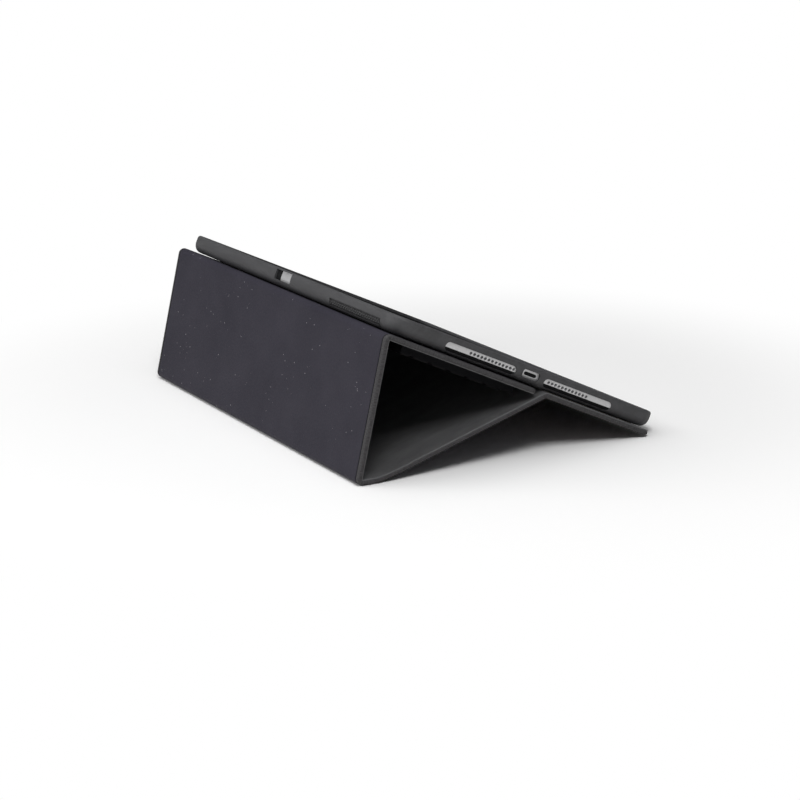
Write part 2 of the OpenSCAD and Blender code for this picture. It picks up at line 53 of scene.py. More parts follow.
TILT = 25.0                        # slope of the tray, in degrees
PANEL_W = 247.0
LINING_T, BOARD_T, SKIN_T = 0.5, 1.7, 0.8
PANEL_T = LINING_T + BOARD_T + SKIN_T
EDGE_W = 3.0                       # the skin around the board
INSET = 0.3                        # from a panel's face to the axis it folds about
FOLD_R = PANEL_T + INSET
BARE = 4.5                         # a panel's length without a board, beside a fold
BOND_T = 0.4
TRAY_L, TRAY_W, TRAY_T = 243.0, 172.5, 9.3
LIP_R, LIP_STEPS = 1.6, 4
EDGE_IN, EDGE_UP = 4.4, 5.3        # the curve of the tray's edge: inward and upward
CREST_U, LEG_L, SPINE_W, KEY_L = 73.0, 98.5, 11.0, 92.5
CREST_GAP, TUCK_GAP, BASE_START = 7.0, 0.6, 3.5
CAMERA_INSET, CAMERA_R = (15.5, 17.0), 6.0
KEYBOARD_START, KEYBOARD_END = 12.0, 9.3

LIFT = (BOND_T + PANEL_T) * math.cos(math.radians(TILT)) - BASE_START * math.sin(math.radians(TILT))


def polar(a):
    return Vector((math.cos(math.radians(a)), math.sin(math.radians(a))))


def along(a, y, z):
    """A side-view vector, y along direction a and z to its left."""
    return y * polar(a) + z * polar(a + 90)


def on_tray(u, v):
    """A side-view point from its place up the tray and its height over the tray's back."""
    return along(TILT, u, v) + Vector((0, LIFT))


CREST = on_tray(CREST_U, -(BOND_T + FOLD_R))
RISE = PANEL_T + 2 * INSET
LEG_A = math.degrees(math.asin((FOLD_R - CREST.y) / math.hypot(LEG_L, RISE)) - math.atan2(RISE, LEG_L))
SPINE_FRONT = CREST + along(LEG_A, LEG_L, RISE)
SPINE_REAR = SPINE_FRONT + Vector((SPINE_W, 0))
TOP = on_tray(CREST_U + CREST_GAP + KEY_L, -(TUCK_GAP + FOLD_R))
REAR_L = (TOP - SPINE_REAR).length
REAR_A = math.degrees(math.atan2(*reversed(TOP - SPINE_REAR)))
KEY_A = TILT + 180
BASE_L = CREST_U - BASE_START
LIP = [math.radians(90 * i / LIP_STEPS) for i in range(LIP_STEPS + 1)]
FRONT = min(on_tray(LIP_R * (1 - math.cos(a)), TRAY_T - LIP_R * (1 - math.sin(a))).x for a in LIP)
CENTRE_Y = (FRONT + SPINE_REAR.x + FOLD_R) / 2


def row(x, p):
    """A point of the row frame in metres, from X and a side-view point in millimetres."""
    return Vector((x, p.x - CENTRE_Y, p.y)) * MM


# Each panel: where its lining's face starts, and its direction
PANELS = {
    "base": (on_tray(BASE_START, -BOND_T), TILT),
    "leg": (CREST + along(LEG_A, 0, FOLD_R), LEG_A),
    "spine": (SPINE_FRONT + along(0, 0, -INSET), 0.0),
    "rear": (SPINE_REAR + along(REAR_A, 0, -INSET), REAR_A),
    "key": (TOP + along(KEY_A, 0, -INSET), KEY_A),
}


def local(panel, x, y, z):
    """A point of the row frame from a panel's own coordinates."""
    origin, a = PANELS[panel]
    return row(x, origin + along(a, y, z))


# ---------- Materials ----------

def new_material(name, color, rough, metallic=0.0, **sockets):
    m = bpy.data.materials.new(name)
    m.use_nodes = True
    shader = m.node_tree.nodes["Principled BSDF"]
    shader.inputs["Base Color"].default_value = (*color, 1)
    shader.inputs["Roughness"].default_value = rough
    shader.inputs["Metallic"].default_value = metallic
    for key, value in sockets.items():
        shader.inputs[key.replace("_", " ")].default_value = value
    return m


def node(m, kind, **values):
    """A new node in a material or world. Each value is a property of it, or the constant of a socket."""
    n = m.node_tree.nodes.new(kind)
    for key, value in values.items():
        if hasattr(n, key):
            setattr(n, key, value)
        else:
            n.inputs[key.replace("_", " ")].default_value = value
    return n


def link(m, a, b):
    m.node_tree.links.new(a, b)


def coords(m, kind="UV", stretch=(1, 1, 1)):
    c = node(m, "ShaderNodeTexCoord")
    s = node(m, "ShaderNodeMapping", Scale=stretch)
    link(m, c.outputs[kind], s.inputs["Vector"])
    return s.outputs["Vector"]


def split(m, vector):
    n = node(m, "ShaderNodeSeparateXYZ")
    link(m, vector, n.inputs[0])
    return n.outputs


def noise(m, vector, scale, detail=3.0, rough=0.55):
    n = node(m, "ShaderNodeTexNoise", Scale=scale, Detail=detail, Roughness=rough)
    link(m, vector, n.inputs["Vector"])
    return n.outputs["Fac"]


def cell_distance(m, vector, scale):
    n = node(m, "ShaderNodeTexVoronoi", Scale=scale)
    link(m, vector, n.inputs["Vector"])
    return n.outputs["Distance"]


def ramp(m, fac, stops):
    """A ramp between two stops, each a position and a colour or a grey."""
    n = node(m, "ShaderNodeValToRGB")
    link(m, fac, n.inputs["Fac"])
    e = n.color_ramp.elements
    for i, (at, color) in enumerate(stops):
        e[i].position = at
        e[i].color = (*color, 1) if hasattr(color, "__len__") else (color, color, color, 1)
    return n.outputs["Color"]


def maths(m, operation, a, b=0.0):
    n = node(m, "ShaderNodeMath", operation=operation)
    for i, v in enumerate((a, b)):
        if isinstance(v, (int, float)):
            n.inputs[i].default_value = v
        else:
            link(m, v, n.inputs[i])
    return n.outputs[0]


def mix_color(m, fac, a, b):
    n = node(m, "ShaderNodeMix", data_type="RGBA")
    link(m, fac, n.inputs[0])
    for v, at in ((a, 6), (b, 7)):
        if hasattr(v, "__len__"):
            n.inputs[at].default_value = (*v, 1)
        else:
            link(m, v, n.inputs[at])
    return n.outputs[2]


def mix_shader(m, fac, a, b):
    n = node(m, "ShaderNodeMixShader")
    for i, v in enumerate((fac, a, b)):
        link(m, v, n.inputs[i])
    return n.outputs[0]


def surface(m, color, rough, height, depth, strength):
    """Links a material's tone, its roughness unless that is None, and its grain."""
    shader = m.node_tree.nodes["Principled BSDF"]
    link(m, color, shader.inputs["Base Color"])
    if rough is not None:
        link(m, rough, shader.inputs["Roughness"])
    bump = node(m, "ShaderNodeBump", Strength=strength, Distance=depth)
    link(m, height, bump.inputs["Height"])
    link(m, bump.outputs["Normal"], shader.inputs["Normal"])
    return m


# Bands beside the cover's long edges, in millimetres in from the edge
HEM_W = 2.1            # grey hem
CREASE_SHADE_END = 2.9       # painted shade in the crease: a dark line from the hem's end to here
PAINTED_EDGE_LIGHT_W = 0.9           # painted highlight along the lining's edge
PAST_EDGE = -6.5       # outside the cover, so that a band reaches its edge
# Painted light from the floor's bounce on the base panel's underside: full up to the first of these run
# lengths, and it ends at the second
PAINTED_BOUNCE_RUNS = (45.0, 72.0)
RUN_SCALE = 100.0      # the run length at a ramp's right end


def near_edge(m, outer, inner):
    """1 in a band along the cover's long edges, between two distances in from them."""
    low, high = ((PANEL_W / 2 - d) * MM for d in (inner, outer))
    x = maths(m, "ABSOLUTE", split(m, coords(m))[0])
    return maths(m, "MULTIPLY", maths(m, "GREATER_THAN", x, low), maths(m, "LESS_THAN", x, high))


def outer_skin():
    """Matte polyurethane leather: pebbled grain, mottling, dust in patches, painted floor-bounce light as a
    warm lighter underside on the base panel, and grey hems with painted crease shade beside them."""
    m = new_material("outer_skin", (0.030, 0.028, 0.039), 0.62, Specular_IOR_Level=0.14)
    v = coords(m)
    pebble = cell_distance(m, v, 1500)
    fine = noise(m, v, 5200, 2)
    height = maths(m, "ADD", maths(m, "MULTIPLY", pebble, 0.8), maths(m, "MULTIPLY", fine, 0.6))
    tone = ramp(m, noise(m, v, 28, 4, 0.6), [(0.3, (0.031, 0.029, 0.041)), (0.7, (0.042, 0.039, 0.053))])
    tone = mix_color(m, maths(m, "MULTIPLY", fine, 0.3), tone, (0.022, 0.021, 0.028))
    small = maths(m, "LESS_THAN", cell_distance(m, v, 420), 0.13)
    rare = maths(m, "GREATER_THAN", noise(m, v, 300, 1), 0.58)
    patch = maths(m, "GREATER_THAN", noise(m, v, 24, 2), 0.49)
    dust = maths(m, "MULTIPLY", small, maths(m, "MULTIPLY", rare, patch))
    tone = mix_color(m, dust, tone, (0.26, 0.25, 0.27))
    # Painted light: a warm lighter tone on the base panel's underside, where the floor's bounce would light
    # it
    run = maths(m, "MULTIPLY", split(m, v)[1], 1 / (RUN_SCALE * MM))
    painted_bounce = ramp(m, run, [(PAINTED_BOUNCE_RUNS[0] / RUN_SCALE, 0.9), (PAINTED_BOUNCE_RUNS[1] / RUN_SCALE, 0.0)])
    tone = mix_color(m, painted_bounce, tone, (0.092, 0.078, 0.076))
    grey = [(0.35, (0.042, 0.041, 0.043)), (0.65, (0.084, 0.082, 0.085))]
    hem = ramp(m, noise(m, v, 1500, 4, 0.7), grey)
    tone = mix_color(m, near_edge(m, PAST_EDGE, HEM_W), tone, hem)
    # Painted shade: a dark line over the skin's crease, beside the hem
    tone = mix_color(m, near_edge(m, HEM_W, CREASE_SHADE_END), tone, (0.010, 0.010, 0.012))
    rough = ramp(m, noise(m, v, 900, 3), [(0.3, 0.55), (0.7, 0.70)])
    return surface(m, tone, rough, height, 0.00012, 0.35)


def soft_lining():
    """Brushed microfibre: short nap that lies in patches, pale fibres, and a noisy painted highlight along
    its edges.
    """
    m = new_material("soft_lining", (0.045, 0.045, 0.047), 0.95, Sheen_Weight=0.3, Sheen_Roughness=0.5,
                     Sheen_Tint=(0.8, 0.8, 0.82, 1), Specular_IOR_Level=0.12)
    v = coords(m)
    nap = noise(m, v, 3200, 4, 0.7)
    lay = noise(m, coords(m, stretch=(1, 0.35, 1)), 160, 4, 0.6)
    tone = ramp(m, lay, [(0.3, (0.056, 0.056, 0.058)), (0.72, (0.086, 0.086, 0.088))])
    fibre = ramp(m, nap, [(0.56, 0.0), (0.74, 0.5)])
    tone = mix_color(m, fibre, tone, (0.12, 0.12, 0.125))
    # Painted highlight: the lining is lighter along its edge, as if lit there
    painted_edge_highlight = maths(m, "MULTIPLY", near_edge(m, PAST_EDGE, PAINTED_EDGE_LIGHT_W), noise(m, v, 1500, 4, 0.8))
    tone = mix_color(m, painted_edge_highlight, tone, (0.18, 0.18, 0.185))
    height = maths(m, "ADD", nap, maths(m, "MULTIPLY", lay, 0.5))
    return surface(m, tone, None, height, 0.00025, 0.5)


def tray_plastic():
    """Matte moulded polycarbonate: spark-eroded texture, faint handling marks."""
    m = new_material("tray_plastic", (0.064, 0.064, 0.068), 0.55, Specular_IOR_Level=0.3)
    erode = noise(m, coords(m, "Object"), 2600, 3, 0.65)
    marks = noise(m, coords(m, "Object", (1, 5, 5)), 45, 4, 0.6)
    tone = ramp(m, marks, [(0.3, (0.058, 0.058, 0.061)), (0.75, (0.080, 0.080, 0.084))])
    rough = ramp(m, marks, [(0.3, 0.48), (0.7, 0.62)])
    return surface(m, tone, rough, erode, 0.00006, 0.3)


def grained(name, color, rough, scale, depth=0.00005, spread=0.15, metallic=0.0, stretch=(1, 1, 1),
            **sockets):
    """A material with one grain that varies its tone, roughness and height."""
    m = new_material(name, color, rough, metallic, **sockets)
    v = coords(m, "Object", stretch)
    grain = noise(m, v, scale, 4, 0.6)
    low = [c * (1 - spread) for c in color]
    high = [min(1.0, c * (1 + spread)) for c in color]
    tone = ramp(m, grain, [(0.32, low), (0.7, high)])
    coarse = noise(m, v, scale * 0.37, 2)
    varied = ramp(m, coarse, [(0.3, max(0.05, rough - 0.07)), (0.7, rough + 0.07)])
    return surface(m, tone, varied, grain, depth, 0.3)


MATERIALS = {
    "outer_skin": outer_skin(),
    "soft_lining": soft_lining(),
    "tray_plastic": tray_plastic(),
    "grip_rubber": grained("grip_rubber", (0.024, 0.024, 0.026), 0.42, 1800),
    "screen_metal": grained("screen_metal", (0.62, 0.62, 0.63), 0.42, 1400, metallic=0.6, spread=0.05),
    "adhesive": grained("adhesive", (0.62, 0.57, 0.44), 0.6, 500),
    "panel_board": grained("panel_board", (0.22, 0.18, 0.13), 0.9, 900, spread=0.3),
    "magnet": grained("magnet", (0.50, 0.50, 0.52), 0.28, 700, metallic=1.0, spread=0.08),
    "keyboard_plastic": grained("keyboard_plastic", (0.009, 0.009, 0.010), 0.8, 2400,
                                Specular_IOR_Level=0.04),
    "key_plastic": grained("key_plastic", (0.011, 0.011, 0.012), 0.65, 3000, Specular_IOR_Level=0.08),
    "cell_foil": grained("cell_foil", (0.62, 0.62, 0.64), 0.3, 260, metallic=0.9, depth=0.0002),
    "circuit": grained("circuit", (0.02, 0.13, 0.05), 0.35, 420, spread=0.35),
    "socket_metal": grained("socket_metal", (0.60, 0.60, 0.62), 0.3, 1200, metallic=1.0, spread=0.06),
    "plate_steel": grained("plate_steel", (0.40, 0.41, 0.43), 0.36, 900, metallic=1.0, stretch=(1, 12, 12)),
    "membrane_film": grained("membrane_film", (0.50, 0.57, 0.60), 0.4, 500),
    "light_pipe": grained("light_pipe", (0.72, 0.78, 0.72), 0.2, 900, spread=0.04,
                          Transmission_Weight=0.5),
}
slots = {s["node"]: s["material_slot"] for s in frame["record"]["subparts"]}
for name, obj in frame["nodes"].items():
    for s in obj.material_slots:
        s.material = MATERIALS[slots[name]]

# ---------- Mesh helpers ----------

SHARP = math.radians(32)
MERGE = 1e-7


def new_object(name, bm):
    """Turns a bmesh into an object of the scene."""
    mesh = bpy.data.meshes.new(name)
    bm.to_mesh(mesh)
    bm.free()
    obj = bpy.data.objects.new(name, mesh)
    bpy.context.scene.collection.objects.link(obj)
    return obj


def finish_mesh(name, bm, slot_name):
    """Turns a bmesh into an object with smooth faces, sharp where it folds, and its material."""
    bmesh.ops.remove_doubles(bm, verts=bm.verts, dist=MERGE)
    bmesh.ops.recalc_face_normals(bm, faces=bm.faces)
    for f in bm.faces:
        f.smooth = True
    for e in bm.edges:
        e.smooth = len(e.link_faces) == 2 and e.calc_face_angle(0) < SHARP
    obj = new_object(name, bm)
    obj.data.materials.append(MATERIALS[slot_name])
    return obj


def rod(points_a, points_b):
    """A closed cutter between two outlines of the same length."""
    bm = bmesh.new()
    a = [bm.verts.new(p) for p in points_a]
    b = [bm.verts.new(p) for p in points_b]
    n = len(a)
    bm.faces.new(a)
    bm.faces.new(list(reversed(b)))
    for i in range(n):
        bm.faces.new((a[i], b[i], b[(i + 1) % n], a[(i + 1) % n]))
    bmesh.ops.recalc_face_normals(bm, faces=bm.faces)
    return new_object("cutter", bm)


def cut(obj, cutter):
    """Takes the cutter out of obj and removes it."""
    b = obj.modifiers.new("cut", "BOOLEAN")
    b.operation = "DIFFERENCE"
    b.solver = "EXACT"
    b.object = cutter
    bpy.context.view_layer.update()
    done = bpy.data.meshes.new_from_object(obj.evaluated_get(bpy.context.evaluated_depsgraph_get()))
    obj.modifiers.clear()
    obj.data = done
    bpy.data.objects.remove(cutter)


def slab(name, top, bottom, uv, slot_name):
    """A closed solid between two grids of points with the same rows and columns."""
    bm = bmesh.new()
    layer = bm.loops.layers.uv.new("UVMap")
    rows, cols = len(top), len(top[0])
    verts = [[[bm.verts.new(p) for p in r] for r in grid] for grid in (top, bottom)]

    def face(corners):
        f = bm.faces.new([verts[g][i][j] for g, i, j in corners])
        for loop, (g, i, j) in zip(f.loops, corners):
            loop[layer].uv = uv[i][j]

    for i in range(rows - 1):
        for j in range(cols - 1):
            for g in (0, 1):
                face([(g, i, j), (g, i, j + 1), (g, i + 1, j + 1), (g, i + 1, j)])
    for i in range(rows - 1):
        for j in (0, cols - 1):
            face([(0, i, j), (0, i + 1, j), (1, i + 1, j), (1, i, j)])
    for j in range(cols - 1):
        for i in (0, rows - 1):
            face([(0, i, j), (0, i, j + 1), (1, i, j + 1), (1, i, j)])
    return finish_mesh(name, bm, slot_name)


def evenly(a, b, step):
    """Evenly spaced values from a to b, about a step apart."""
    n = max(1, round(abs(b - a) / step))
    return [a + (b - a) * i / n for i in range(n + 1)]


# ---------- The cover: panels and bends ----------

ROLL_W, ROLL_T = 1.7, 1.15         # the skin's rolled edge: across and through the panel
TIP_W, TIP_T = 4.5, 1.8            # the same roll at the cover's two free ends
CREASE_AT, CREASE_W, CREASE_T = 2.5, 0.38, 0.35
INNER_R = 0.6                      # rounding of the skin beside the lining
NAP_R = 0.4                        # rounding of the lining's edge
NAP_INSET = 0.35
CORNER_R = 3.0                     # corner of a free end, seen flat
# Lines along the cover, by their distance from its edge
EDGE_LINES = [0, .04, .12, .25, .4, .6, .85, 1.1, 1.4, 1.7, 1.95, 2.15, 2.3, 2.4, 2.5, 2.6, 2.75, 2.99,
              3.01, 3.3]
COLUMNS = EDGE_LINES + [3.8, 5, 7.5, 12, 20, 34, 55, 85]
NO_END = 1000.0                    # stands for a station far from any free end


def roll(d, wide, deep):
    """The drop of an elliptic rounding at a distance d from its edge."""
    return deep * (1 - math.sqrt(1 - min(1.0, max(0.0, 1 - d / wide)) ** 2))


def outer_t(d, end):
    """The skin's outer face over the lining's face, at distances from the edge and from a free end."""
    crease = CREASE_T * math.exp(-((d - CREASE_AT) / CREASE_W) ** 2)
    return PANEL_T - max(crease, roll(d, ROLL_W, ROLL_T), roll(end, TIP_W, TIP_T))


class Station:
    """One line across the cover: its lining's face, outward direction, run length and free end."""

    def __init__(self, p, a, s, end=NO_END, pocket=False):
        self.p, self.n, self.s, self.end, self.pocket = p, polar(a), s, end, pocket


def cover(name, stations, lining=False):
    """The outer skin over a board pocket, or the lining, along a run of stations."""
    inset = NAP_INSET if lining else 0.0
    top, bottom, uv = [], [], []
    for st in stations:
        half = PANEL_W / 2 - roll(st.end, CORNER_R, CORNER_R) - inset
        edges = [c for c in COLUMNS if c < half - 1]
        places = [(c - half, c) for c in edges] + [(half - c, c) for c in reversed(edges)]
        a, b, t = [], [], []
        for x, d in places:
            d = min(d, st.end - inset)
            if lining:
                near, far = roll(d, NAP_R, NAP_R), LINING_T
            else:
                near = outer_t(d, st.end)
                far = PANEL_T - SKIN_T if st.pocket and d > EDGE_W else LINING_T
                far += roll(d, INNER_R, INNER_R)
            a.append(row(x, st.p + near * st.n))
            b.append(row(x, st.p + far * st.n))
            t.append((x * MM, st.s * MM))
        top.append(a)
        bottom.append(b)
        uv.append(t)
    return slab(name, top, bottom, uv, "soft_lining" if lining else "outer_skin")


def straight(panel, ys, s0, free=None, pocket=None):
    """Stations on a flat panel. Free is where its free end is, pocket where its board starts and ends."""
    origin, a = PANELS[panel]
    out = []
    for y in ys:
        end = NO_END if free is None else abs(y - free)
        inside = pocket is not None and pocket[0] < y < pocket[1]
        out.append(Station(origin + along(a, y, 0), a - 90, s0 + y, end, inside))
    return out


MID_R = 1.8            # the cover's middle round a fold
ARC = 16               # steps round a fold


def around(axis, radius, a0, a1, s0):
    """Stations round a fold. A negative radius is a fold whose axis is on the outer side."""
    out = []
    for i in range(ARC + 1):
        a = a0 + (a1 - a0) * i / ARC
        out.append(Station(axis + radius * polar(a), a, s0 + math.radians(abs(a - a0)) * MID_R))
    return out


SOFT_LEG, SOFT_SPINE = 15.0, 4.0   # reach of the soft corner on the leg and on the spine
SEAM = 2.0                         # from a fold's end to the next station
PAIR = 0.01                        # between two stations at a step in the skin
FIRST, STRIDE = 6.0, 12.0          # from a pocket's end to the next station, and between stations
NEXT_LINES = [4, 6]                # stations after the edge lines, by their distance from a free end
BASE_NEAR, KEY_NEAR = 14.0, 10.0   # from a free end to the first evenly spaced station

# Run lengths at which each part of the cover starts
S_BASE = 0.0
S_CREST = BASE_L
S_LEG = S_CREST + math.radians(TILT - LEG_A) * MID_R
S_SPINE = S_LEG + LEG_L
S_REAR = S_SPINE + SPINE_W + math.radians(REAR_A) * MID_R
S_KEY = S_REAR + REAR_L + math.radians(KEY_A - REAR_A) * MID_R

# Stations of each flat part, by their distance from its start
AFTER_FOLD = [BARE, BARE + PAIR]
BASE_YS = EDGE_LINES + NEXT_LINES + [9] + evenly(BASE_NEAR, BASE_L - BARE - PAIR, STRIDE)
BASE_YS += [BASE_L - BARE]
LEG_YS = AFTER_FOLD + evenly(BARE + FIRST, LEG_L - SOFT_LEG, STRIDE)
SPINE_YS = evenly(SOFT_SPINE, SPINE_W - SEAM, SEAM)
REAR_YS = AFTER_FOLD + evenly(BARE + FIRST, REAR_L - BARE - FIRST, STRIDE)
REAR_YS += [REAR_L - BARE - PAIR, REAR_L - BARE]
KEY_YS = AFTER_FOLD + evenly(BARE + FIRST, KEY_L - KEY_NEAR, STRIDE)
KEY_YS += [KEY_L - y for y in reversed(EDGE_LINES + NEXT_LINES)]

# Each flat part of the cover: its name, its body and its stations
FLATS = [
    ("base", "tray", straight("base", BASE_YS, S_BASE, free=0.0, pocket=(EDGE_W, BASE_L - BARE))),
    ("leg", "leg", straight("leg", LEG_YS, S_LEG, pocket=(BARE, LEG_L))),
    ("spine", "spine", straight("spine", SPINE_YS, S_SPINE, pocket=(0, SPINE_W))),
    ("rear", "rear_panel", straight("rear", REAR_YS, S_REAR, pocket=(BARE, REAR_L - BARE))),
    ("key_panel", "keyboard_panel",
     straight("key", KEY_YS, S_KEY, free=KEY_L, pocket=(BARE, KEY_L - EDGE_W))),
]
CIRCLE_STEPS = 64
CIRCLE = [polar(360 * i / CIRCLE_STEPS) for i in range(CIRCLE_STEPS)]
CUT_LOW, CUT_HIGH = -6, 3          # the camera hole's cutter, from below the base panel to above it


def camera_cutter():
    """A rod where the camera hole goes through the base panel."""
    x, y = TRAY_L / 2 - CAMERA_INSET[0], CAMERA_INSET[1] - BASE_START
    ends = [[local("base", x + CAMERA_R * p.x, y + CAMERA_R * p.y, z) for p in CIRCLE]
            for z in (CUT_LOW, CUT_HIGH)]
    return rod(*ends)


for name, body, stations in FLATS:
    skin = cover(name + "_cover", stations)
    lining = cover(name + "_nap", stations, lining=True)
    if name == "base":
        cut(skin, camera_cutter())
        cut(lining, camera_cutter())
    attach(skin, body)
    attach(lining, body)
    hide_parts(name + "_skin")
    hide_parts(name + "_lining")


def soft_corner():
    """Stations of the bend between the leg and the spine, which the skin rounds softly."""
    origin, a = PANELS["leg"]
    start = origin + along(a, LEG_L - SOFT_LEG, 0)
    finish = PANELS["spine"][0] + Vector((SOFT_SPINE, 0))
    t = (start.y - finish.y) / -polar(a).y
    corner = start + polar(a) * t
    out = []
    for i in range(ARC + 1):
        w = i / ARC
        p = start * (1 - w) ** 2 + corner * 2 * w * (1 - w) + finish * w * w
        d = (corner - start) * (1 - w) + (finish - corner) * w
        s = S_SPINE - SOFT_LEG + (SOFT_LEG + SOFT_SPINE) * w
        out.append(Station(p, math.degrees(math.atan2(d.y, d.x)) - 90, s))
    return out


# Each bend: the bodies at its two ends, its stations, and where its middle line starts and ends
BENDS = {
    "crest_fold": (
        "tray", "leg",
        straight("base", [BASE_L - BARE, BASE_L - SEAM], S_BASE)
        + around(CREST, -FOLD_R, TILT - 90, LEG_A - 90, S_CREST)
        + straight("leg", [SEAM, BARE], S_LEG),
        (CREST - MID_R * polar(TILT - 90), CREST - MID_R * polar(LEG_A - 90))),
    "spine_front_fold": (
        "leg", "spine", soft_corner(),
        (PANELS["leg"][0] + along(LEG_A, LEG_L - SOFT_LEG, -PANEL_T / 2),
         PANELS["spine"][0] + along(0, SOFT_SPINE, -PANEL_T / 2))),
    "spine_rear_fold": (
        "spine", "rear_panel",
        straight("spine", [SPINE_W - SEAM], S_SPINE)
        + around(SPINE_REAR, INSET, -90, REAR_A - 90, S_SPINE + SPINE_W)
        + straight("rear", [SEAM, BARE], S_REAR),
        (SPINE_REAR + MID_R * polar(-90), SPINE_REAR + MID_R * polar(REAR_A - 90))),
    "top_fold": (
        "rear_panel", "keyboard_panel",
        straight("rear", [REAR_L - BARE, REAR_L - SEAM], S_REAR)
        + around(TOP, INSET, REAR_A - 90, KEY_A - 90, S_REAR + REAR_L)
        + straight("key", [SEAM, BARE], S_KEY),
        (TOP + MID_R * polar(REAR_A - 90), TOP + MID_R * polar(KEY_A - 90))),
}
for key, (body_a, body_b, stations, middle) in BENDS.items():
    skin = cover(key + "_cover", stations)
    lining = cover(key + "_nap", stations, lining=True)
    for obj in (skin, lining):
        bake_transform(obj)
    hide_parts(key)

# ---------- Small parts of the tray ----------


def edge_place(side, run, v, depth):
    """A point of the tray's curved edge: side is "left", "right", "high" or "low", run the place along
    it, v the height over the tray's back, depth the distance in from the outer face."""
    if v < EDGE_UP:
        a = math.acos(1 - v / EDGE_UP)
        inward = EDGE_IN * (1 - math.sin(a))
        n = Vector((math.sin(a) / EDGE_IN, -math.cos(a) / EDGE_UP)).normalized()
    else:
        inward, n = 0.0, Vector((1, 0))
    out, v = -inward - depth * n.x, v - depth * n.y
    if side == "high":
        return row(run, on_tray(TRAY_W + out, v))
    if side == "low":
        return row(run, on_tray(-out, v))
    x = TRAY_L / 2 + out
    return row(-x if side == "left" else x, on_tray(run, v))


RING = 24              # points round a hole
PLAIN_STEPS = 6        # steps up a part without a hole


def hole_ring(centre, size):
    """Points of a round-ended hole, length by height, seen from outside."""
    length, height = size
    r = height / 2
    out = []
    for i in range(RING):
        a = 2 * math.pi * (i + 0.5) / RING
        stretch = math.copysign((length - height) / 2, math.cos(a))
        out.append((centre[0] + stretch + r * math.cos(a), centre[1] + r * math.sin(a)))
    return out


def on_frame(centre, box, p):
    """Where the line from a hole's middle through p meets its part's border."""
    reach = []
    for axis in (0, 1):
        d = p[axis] - centre[axis]
        if abs(d) > 1e-9:
            border = box[axis + 2] if d > 0 else box[axis]
            reach.append((border - centre[axis]) / d)
    return tuple(c + (q - c) * min(reach) for c, q in zip(centre, p))


def plain_part(bm, side, box, depths):
    """Adds a part of a plate without a hole: its two faces and its four sides."""
    u0, v0, u1, v1 = box
    vs = [v0 + (v1 - v0) * i / PLAIN_STEPS for i in range(PLAIN_STEPS + 1)]
    front, back = ([[bm.verts.new(edge_place(side, u, v, d)) for v in vs] for u in (u0, u1)]
                   for d in depths)
    for i in range(PLAIN_STEPS):
        for g in (front, back):
            bm.faces.new((g[0][i], g[0][i + 1], g[1][i + 1], g[1][i]))
        for k in (0, 1):
            bm.faces.new((front[k][i], front[k][i + 1], back[k][i + 1], back[k][i]))
    for i in (0, PLAIN_STEPS):
        bm.faces.new((front[0][i], front[1][i], back[1][i], back[0][i]))


def holed_part(bm, side, box, hole, depths):
    """Adds a part of a plate round its hole: two rings of faces, the hole's wall and the outer sides."""
    centre, size = hole
    u0, v0, u1, v1 = box
    inner = hole_ring(centre, size)
    outer = [on_frame(centre, box, p) for p in inner]
    for c in ((u0, v0), (u1, v0), (u1, v1), (u0, v1)):
        nearest = min(range(RING), key=lambda i: (outer[i][0] - c[0]) ** 2 + (outer[i][1] - c[1]) ** 2)
        outer[nearest] = c
    middle = [((a[0] + b[0]) / 2, (a[1] + b[1]) / 2) for a, b in zip(inner, outer)]
    front, back = ([[bm.verts.new(edge_place(side, u, v, d)) for u, v in r] for r in (inner, middle, outer)]
                   for d in depths)
    for i in range(RING):
        k = (i + 1) % RING
        for g in (front, back):
            for r in (0, 1):
                bm.faces.new((g[r][i], g[r][k], g[r + 1][k], g[r + 1][i]))
        for r in (0, 2):
            bm.faces.new((front[r][i], front[r][k], back[r][k], back[r][i]))


def is_shared(face):
    """True for the wall that two neighbouring parts of a plate have in common."""
    crowded = all(len(e.link_faces) > 2 for e in face.edges)
    corners = set(face.verts)
    return crowded and any(g is not face and set(g.verts) == corners
                           for e in face.edges for g in e.link_faces)


def plate(name, side, parts, depth, thick, slot_name):
    """A thin plate behind the tray's edge. Each part is (box, hole or None): box is u0, v0, u1, v1."""
    bm = bmesh.new()
    depths = (depth, depth + thick)
    for box, hole in parts:
        if hole is None:
            plain_part(bm, side, box, depths)
        else:
            holed_part(bm, side, box, hole, depths)
    bmesh.ops.remove_doubles(bm, verts=bm.verts, dist=MERGE)
    bmesh.ops.delete(bm, geom=[f for f in bm.faces if is_shared(f)], context="FACES_ONLY")
    obj = finish_mesh(name, bm, slot_name)
    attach(obj, "tray")
    return obj


HOLE_PITCH, HOLE_D, HOLE_V = 2.3, 1.8, 4.45
SCREEN_V = (3.2, 6.6)
# painted shade: the dark strip below each speaker screen spans these heights
SPEAKER_SHADE_V = (1.2, 3.2)
SCREEN_DEPTH, SCREEN_T, SCREEN_LAP = 0.4, 0.4, 0.8
# Each speaker slot: its two ends, its first hole and how many holes it has
SPEAKER_ROWS = {"high": (95.5, 140.5, 97.0, 13), "low": (31.5, 77.0, 48.6, 12)}


def screen(name, side, u0, u1, first, count):
    """A speaker slot's screen: a row of holes between two plain ends."""
    low, high = SCREEN_V
    start = first - HOLE_PITCH / 2
    stop = start + count * HOLE_PITCH
    parts = [((u0 - SCREEN_LAP, low, start, high), None), ((stop, low, u1 + SCREEN_LAP, high), None)]
    for i in range(count):
        box = (start + i * HOLE_PITCH, low, start + (i + 1) * HOLE_PITCH, high)
        parts.append((box, ((first + i * HOLE_PITCH, HOLE_V), (HOLE_D, HOLE_D))))
    return plate(name, side, parts, SCREEN_DEPTH, SCREEN_T, "screen_metal")


